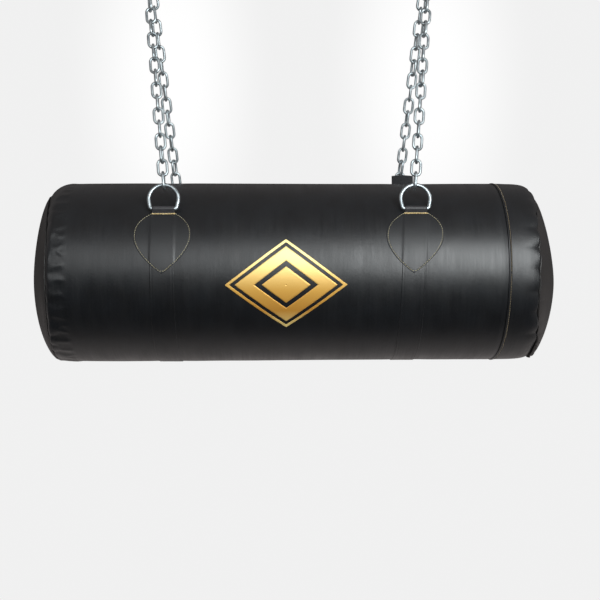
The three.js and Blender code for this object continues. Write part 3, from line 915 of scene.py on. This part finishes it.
def coated_leather(name, base, tint, rough, streak, grain):
    """Polyurethane-coated cloth, calendered: satin sheen that breaks into fine streaks round the bag,
    where the coating stretched over its rolls, a pebble grain of about 1.2 mm and slow unevenness."""
    made, tree, shader, place = new_material(name)
    # Streaks 3 mm apart along the bag and long round it.
    thin = add(tree, "ShaderNodeMapping", {"Vector": place, "Scale": (330, 9, 9)})
    lines = add(tree, "ShaderNodeTexNoise", {
        "Vector": thin.outputs[0], "Scale": 1.0, "Detail": 5.0, "Roughness": 0.65,
    }).outputs["Fac"]
    # Bands 33 mm apart, where the cloth is a little slack.
    wide = add(tree, "ShaderNodeMapping", {"Vector": place, "Scale": (30, 11, 11)})
    broad = add(tree, "ShaderNodeTexNoise", {
        "Vector": wide.outputs[0], "Scale": 1.0, "Detail": 4.0,
    }).outputs["Fac"]
    pebble = add(tree, "ShaderNodeTexVoronoi", {"Vector": place, "Scale": 820.0}).outputs["Distance"]
    cloud = add(tree, "ShaderNodeTexNoise", {
        "Vector": place, "Scale": 22.0, "Detail": 5.0,
    }).outputs["Fac"]
    colour = add(tree, "ShaderNodeValToRGB", {"Fac": cloud}, stops=[(0.3, base), (0.72, tint)])
    tree.links.new(colour.outputs["Color"], shader.inputs["Base Color"])
    both = add(tree, "ShaderNodeMath", {0: lines, 1: broad}, operation="ADD").outputs[0]
    spread = add(tree, "ShaderNodeMapRange", {
        "Value": both, "From Min": 0.75, "From Max": 1.25,
        "To Min": rough - 0.05, "To Max": rough + 0.05,
    }).outputs[0]
    tree.links.new(spread, shader.inputs["Roughness"])
    first = add(tree, "ShaderNodeBump", {"Strength": grain, "Distance": 0.2 * MM, "Height": pebble})
    second = add(tree, "ShaderNodeBump", {
        "Strength": streak, "Distance": 0.3 * MM, "Height": lines, "Normal": first.outputs[0],
    })
    third = add(tree, "ShaderNodeBump", {
        "Strength": streak, "Distance": 3 * MM, "Height": broad, "Normal": second.outputs[0],
    })
    tree.links.new(third.outputs[0], shader.inputs["Normal"])
    shader.inputs["IOR"].default_value = 1.5
    return made


def zinc_plate(name):
    """Bright zinc electroplate on welded wire: a blue-white shine with dull patches about 11 mm
    across and a fine roughness of about 1 mm."""
    made, tree, shader, place = new_material(name)
    cloud = add(tree, "ShaderNodeTexNoise", {
        "Vector": place, "Scale": 90.0, "Detail": 4.0,
    }).outputs["Fac"]
    fine = add(tree, "ShaderNodeTexNoise", {
        "Vector": place, "Scale": 900.0, "Detail": 3.0,
    }).outputs["Fac"]
    colour = add(tree, "ShaderNodeValToRGB", {"Fac": cloud}, stops=[
        (0.3, "#9ba5aa"), (0.7, "#c3cbce"),
    ])
    tree.links.new(colour.outputs["Color"], shader.inputs["Base Color"])
    gloss = add(tree, "ShaderNodeMapRange", {
        "Value": cloud, "From Min": 0.3, "From Max": 0.7, "To Min": 0.34, "To Max": 0.5,
    }).outputs[0]
    tree.links.new(gloss, shader.inputs["Roughness"])
    bump = add(tree, "ShaderNodeBump", {"Strength": 0.25, "Distance": 0.2 * MM, "Height": fine})
    tree.links.new(bump.outputs[0], shader.inputs["Normal"])
    shader.inputs["Metallic"].default_value = 1.0
    return made


def sewing_thread(name, dark, light):
    """Bonded polyester thread: plies whose twist shows as light and dark flecks 0.7 mm long."""
    made, tree, shader, place = new_material(name)
    twist = add(tree, "ShaderNodeTexNoise", {
        "Vector": place, "Scale": 1400.0, "Detail": 2.0,
    }).outputs["Fac"]
    colour = add(tree, "ShaderNodeValToRGB", {"Fac": twist}, stops=[(0.3, dark), (0.7, light)])
    tree.links.new(colour.outputs["Color"], shader.inputs["Base Color"])
    bump = add(tree, "ShaderNodeBump", {"Strength": 0.6, "Distance": 0.3 * MM, "Height": twist})
    tree.links.new(bump.outputs[0], shader.inputs["Normal"])
    shader.inputs["Roughness"].default_value = 0.6
    shader.inputs["Sheen Weight"].default_value = 0.3
    return made


def gold_foil(name):
    """Hot-stamped gold foil, its colour graded by height as painted light and shade: pale at the top,
    deep amber lower down and light again at its foot, with a leather grain of about 2 mm pressed
    through it."""
    made, tree, shader, place = new_material(name)
    axes = add(tree, "ShaderNodeSeparateXYZ", {"Vector": place}).outputs
    # Painted light and shade: the colour follows height, pale at the top and foot, deep amber
    # between.
    height = add(tree, "ShaderNodeMapRange", {
        "Value": axes["Z"], "From Min": AXIS_Z - 120 * MM, "From Max": AXIS_Z + 62 * MM,
    }).outputs[0]
    colour = add(tree, "ShaderNodeValToRGB", {"Fac": height}, stops=[
        (0.0, "#f3dc8f"), (0.22, "#c98f3a"), (0.45, "#d9a64d"), (1.0, "#fbeaa0"),
    ])
    tree.links.new(colour.outputs["Color"], shader.inputs["Base Color"])
    grain = add(tree, "ShaderNodeTexNoise", {
        "Vector": place, "Scale": 500.0, "Detail": 3.0,
    }).outputs["Fac"]
    bump = add(tree, "ShaderNodeBump", {"Strength": 0.3, "Distance": 0.2 * MM, "Height": grain})
    tree.links.new(bump.outputs[0], shader.inputs["Normal"])
    shader.inputs["Metallic"].default_value = 0.35
    shader.inputs["Roughness"].default_value = 0.42
    return made


def woven_tape(name):
    """Plain woven polyester tape, threads half a millimetre apart."""
    made, tree, shader, place = new_material(name)
    weave = add(tree, "ShaderNodeTexChecker", {"Vector": place, "Scale": 1900.0}).outputs["Fac"]
    colour = add(tree, "ShaderNodeValToRGB", {"Fac": weave}, stops=[
        (0.0, "#101113"), (1.0, "#1d1e21"),
    ])
    tree.links.new(colour.outputs["Color"], shader.inputs["Base Color"])
    bump = add(tree, "ShaderNodeBump", {"Strength": 0.5, "Distance": 0.3 * MM, "Height": weave})
    tree.links.new(bump.outputs[0], shader.inputs["Normal"])
    shader.inputs["Roughness"].default_value = 0.8
    return made


def cell_foam(name, code):
    """Closed-cell foam or packed shreds: matt, with cells about 2 mm across, each painted darker at
    its middle as shade in the pit that the bump sinks there.
    """
    made, tree, shader, place = new_material(name)
    cells = add(tree, "ShaderNodeTexVoronoi", {"Vector": place, "Scale": 450.0}).outputs["Distance"]
    # Painted shade: each cell is darker at its middle, where the bump makes a pit.
    colour = add(tree, "ShaderNodeValToRGB", {"Fac": cells}, stops=[(0.0, "#3c3d3f"), (0.6, code)])
    tree.links.new(colour.outputs["Color"], shader.inputs["Base Color"])
    bump = add(tree, "ShaderNodeBump", {"Strength": 0.6, "Distance": 1 * MM, "Height": cells})
    tree.links.new(bump.outputs[0], shader.inputs["Normal"])
    shader.inputs["Roughness"].default_value = 0.95
    return made


LEATHER = coated_leather("PU leather, satin black", "#0f1012", "#131518", 0.40, 0.3, 0.2)
PATCH_LEATHER = coated_leather("PU leather, patches", "#18191b", "#1d1f21", 0.44, 0.08, 0.3)
DISC_LEATHER = coated_leather("PU leather, end discs", "#1b1a1a", "#221f1e", 0.52, 0.06, 0.3)
# The strap loops get a lighter copy of the leather, whose lightness is a painted highlight on the
# strip rolled over the bar.
STRAP_LEATHER_PAINTED_HIGHLIGHT = coated_leather("PU leather, rubbed strap", "#29292b", "#323134", 0.5, 0.1, 0.5)
ZINC = zinc_plate("Zinc-plated steel wire")
THREAD = sewing_thread("Khaki polyester thread", "#837a5c", "#c8bd97")
DARK_THREAD = sewing_thread("Brown polyester thread", "#4a3f2b", "#77674a")
BRIGHT_THREAD = sewing_thread("Gold polyester thread", "#b08a4a", "#ecd9a0")
FOIL = gold_foil("Gold foil print")
TAPE = woven_tape("Woven polyester tape")
FOAM = cell_foam("Closed-cell foam", "#7b7e82")
FILLING = cell_foam("Packed textile shreds", "#8f877b")


# ---- build ----
fold_tables["left"] = simulate_folds("left", cover_radius, excess=0.03, push=-4.0)
fold_tables["right"] = simulate_folds("right", sleeve_radius, excess=0.06, push=4.0)

bag_cover = finish_piece(outer_cover(), "bag", "black_leather", LEATHER, "outer_cover")
sleeve = finish_piece(closure_sleeve(), "bag", "black_leather", LEATHER, "closure_sleeve")
left_disc = end_disc("left_disc", "left", SEAM_L, TIP_L - 6 * MM,
                     power=1.54, sink=20 * MM, seed=61, rough=1.6 * MM)
finish_piece(left_disc, "bag", "black_leather", DISC_LEATHER, "left_end_disc")
right_disc = end_disc("right_disc", "right", SEAM_R, TIP_R + 23 * MM,
                      power=1.36, sink=29 * MM, seed=71, rough=7 * MM)
finish_piece(right_disc, "bag", "black_leather", DISC_LEATHER, "right_end_disc")
finish_piece(foam_sheet(), "bag", "foam", FOAM, "foam_liner")

for end, sign in STATIONS.items():
    hook_x = sign * HOOK_X
    sling = sling_band(f"{end}_sling", sign)
    finish_piece(sling, "bag", "black_leather", LEATHER, f"{end}_sling_band")
    triangle = top_ring(f"{end}_triangle_ring", hook_x)
    finish_piece(triangle, "top_rings", "zinc_steel", ZINC, f"{end}_top_ring")
    hook = snap_hook(f"{end}_wire_hook", hook_x)
    finish_piece(hook, "snap_hooks", "zinc_steel", ZINC, f"{end}_snap_hook")
    gate = hook_gate(f"{end}_wire_gate", hook_x)
    finish_piece(gate, f"{end}_gate", "zinc_steel", ZINC, f"{end}_gate")
    rivet = gate_pin(f"{end}_rivet", hook_x)
    finish_piece(rivet, "snap_hooks", "zinc_steel", ZINC, f"{end}_gate_pin")
    for face, side in SIDES.items():
        key = f"{face}_{end}"
        leafy = patch(f"{key}_leaf", sign, side)
        finish_piece(leafy, "bag", "black_leather", PATCH_LEATHER, f"{key}_patch")
        seam = joined_skins(f"{key}_patch_stitches", patch_thread(sign, side))
        finish_piece(seam, "bag", "gold_thread", THREAD)
        heavy = joined_skins(f"{key}_loop_stitches", bar_thread(sign, side))
        finish_piece(heavy, "bag", "gold_thread", BRIGHT_THREAD)
        loop = strap_loop(f"{key}_loop", sign, side)
        finish_piece(loop, "bag", "webbing", STRAP_LEATHER_PAINTED_HIGHLIGHT, f"{key}_strap_loop")
        dee = d_ring(f"{key}_dee", sign * STATION_X, side)
        finish_piece(dee, "bag", "zinc_steel", ZINC, f"{key}_d_ring")
        run = chain(f"{key}_links", end, face)
        finish_piece(run, f"{end}_chains", "zinc_steel", ZINC, f"{key}_chain")
        low_link = last_link(f"{key}_last_link", end, face)
        finish_piece(low_link, "bag", "zinc_steel", ZINC, f"{key}_last_link")

finish_piece(joined_skins("sleeve_stitches", sleeve_thread()), "bag", "gold_thread", DARK_THREAD)
finish_piece(emblem(), "bag", "gold_print", FOIL, "front_emblem")
tag_low, tag_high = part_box("woven_tag")
tag_length = tag_high[0] - tag_low[0] - 1 * MM
tape = woven_tag(tag_low, tag_high, tag_length)
tag = finish_piece(tape, "bag", "woven_tag", TAPE, "woven_tag")

filling = frame["nodes"]["textile_filling"]
filling.data.materials.clear()
filling.data.materials.append(FILLING)


# ---- studio ----
def studio_shell():
    """A pale sweep that closes round the object: a floor 1.3 m below the bag's axis, walls 7 m off
    and a dome."""
    floor = AXIS_Z - 1.3
    profile = np.concatenate([
        [[0.01, floor], [3, floor], [5, floor]], arc(5, floor + 2, 2, -90, 0, 16),
        arc(2, 3, 5, 5, 90, 16), [[0.01, 8]],
    ])
    angle = np.linspace(0, 2 * np.pi, 96, endpoint=False)[None, :]
    r = profile[:, :1]
    rings = np.stack(np.broadcast_arrays(r * np.cos(angle), r * np.sin(angle), profile[:, 1:]), -1)
    return open_tube("pale_floor", rings)


def glowing_paint_with_painted_pools(name, glows):
    """White studio paint that glows evenly, with a painted pool of light, a soft brighter glow, on
    the wall behind each station.
    """
    made, tree, shader, place = new_material(name)
    total = 0.875
    for spot in glows:
        apart = add(tree, "ShaderNodeVectorMath", {0: place, 1: spot}, operation="SUBTRACT")
        tall = add(tree, "ShaderNodeVectorMath", {
            0: apart.outputs[0], 1: (1, 0.3, 0.45),
        }, operation="MULTIPLY")
        far = add(tree, "ShaderNodeVectorMath", {0: tall.outputs[0]}, operation="LENGTH")
        # Painted pool of light: a brighter glow on the wall behind each station.
        painted_light_pool = add(tree, "ShaderNodeMapRange", {
            "Value": far.outputs["Value"], "From Min": 1.0, "From Max": 0.15, "To Max": 0.13,
        }, interpolation_type="SMOOTHSTEP").outputs[0]
        total = add(tree, "ShaderNodeMath", {0: painted_light_pool, 1: total}, operation="ADD").outputs[0]
    tree.links.new(total, shader.inputs["Emission Strength"])
    shader.inputs["Emission Color"].default_value = (1, 1, 1, 1)
    shader.inputs["Base Color"].default_value = (0, 0, 0, 1)
    shader.inputs["Specular IOR Level"].default_value = 0.0
    return made


def soft_light(name, place, target, size, watts, colour):
    """A rectangular studio light that faces a point."""
    data = bpy.data.lights.new(name, "AREA")
    data.shape = "RECTANGLE"
    data.size = size[0]
    data.size_y = size[1]
    data.energy = watts
    data.color = colour
    lamp = bpy.data.objects.new(name, data)
    lamp.location = place
    lamp.rotation_euler = (Vector(target) - Vector(place)).to_track_quat("-Z", "Y").to_euler()
    bpy.context.collection.objects.link(lamp)


def room_light():
    """What the studio round the lamps gives: a lit floor behind and below, pale sides, and a dim,
    slightly warm ceiling, by the direction looked in."""
    world = bpy.data.worlds.new("studio")
    world.use_nodes = True
    tree = world.node_tree
    shade = tree.nodes["Background"]
    way = add(tree, "ShaderNodeTexCoord").outputs["Generated"]
    axes = add(tree, "ShaderNodeSeparateXYZ", {"Vector": way}).outputs
    behind = add(tree, "ShaderNodeMapRange", {
        "Value": axes["Y"], "From Min": -0.3, "From Max": 0.3,
    }, interpolation_type="SMOOTHSTEP").outputs[0]
    below = add(tree, "ShaderNodeMapRange", {
        "Value": axes["Z"], "From Min": -0.05, "From Max": -0.35, "To Max": 0.5,
    }, interpolation_type="SMOOTHSTEP").outputs[0]
    above = add(tree, "ShaderNodeMapRange", {
        "Value": axes["Z"], "From Min": 0.0, "From Max": 0.7, "To Max": 0.24,
    }, interpolation_type="SMOOTHSTEP").outputs[0]
    aside = add(tree, "ShaderNodeMath", {0: axes["X"]}, operation="ABSOLUTE").outputs[0]
    sides = add(tree, "ShaderNodeMapRange", {
        "Value": aside, "From Min": 0.5, "From Max": 0.85, "To Max": 0.2,
    }, interpolation_type="SMOOTHSTEP").outputs[0]
    floor = add(tree, "ShaderNodeMath", {
        0: behind, 1: below, 2: 0.015,
    }, operation="MULTIPLY_ADD").outputs[0]
    ends = add(tree, "ShaderNodeMath", {0: floor, 1: sides}, operation="ADD").outputs[0]
    total = add(tree, "ShaderNodeMath", {0: ends, 1: above}, operation="ADD").outputs[0]
    tree.links.new(total, shade.inputs["Strength"])
    shade.inputs["Color"].default_value = (1.0, 0.93, 0.91, 1)
    bpy.context.scene.world = world


backdrop = studio_shell()
backdrop.data.materials.append(glowing_paint_with_painted_pools("Lit white sweep", [(-1.0, 6.9, 1.0), (1.4, 6.8, 1.0)]))
backdrop.visible_glossy = False
backdrop.visible_diffuse = False
backdrop.visible_transmission = False
backdrop.visible_shadow = False
room_light()
bpy.context.scene.view_settings.view_transform = "Standard"

soft_light("key", place=(1.12, -2.65, AXIS_Z + 0.76), target=(0.5, -0.2, AXIS_Z),
           size=(1.6, 1.55), watts=92, colour=(0.96, 1.0, 1.01))
soft_light("fill", place=(-0.75, -2.65, AXIS_Z + 0.85), target=(-0.3, -0.2, AXIS_Z),
           size=(1.8, 1.6), watts=21, colour=(0.97, 1.0, 1.01))
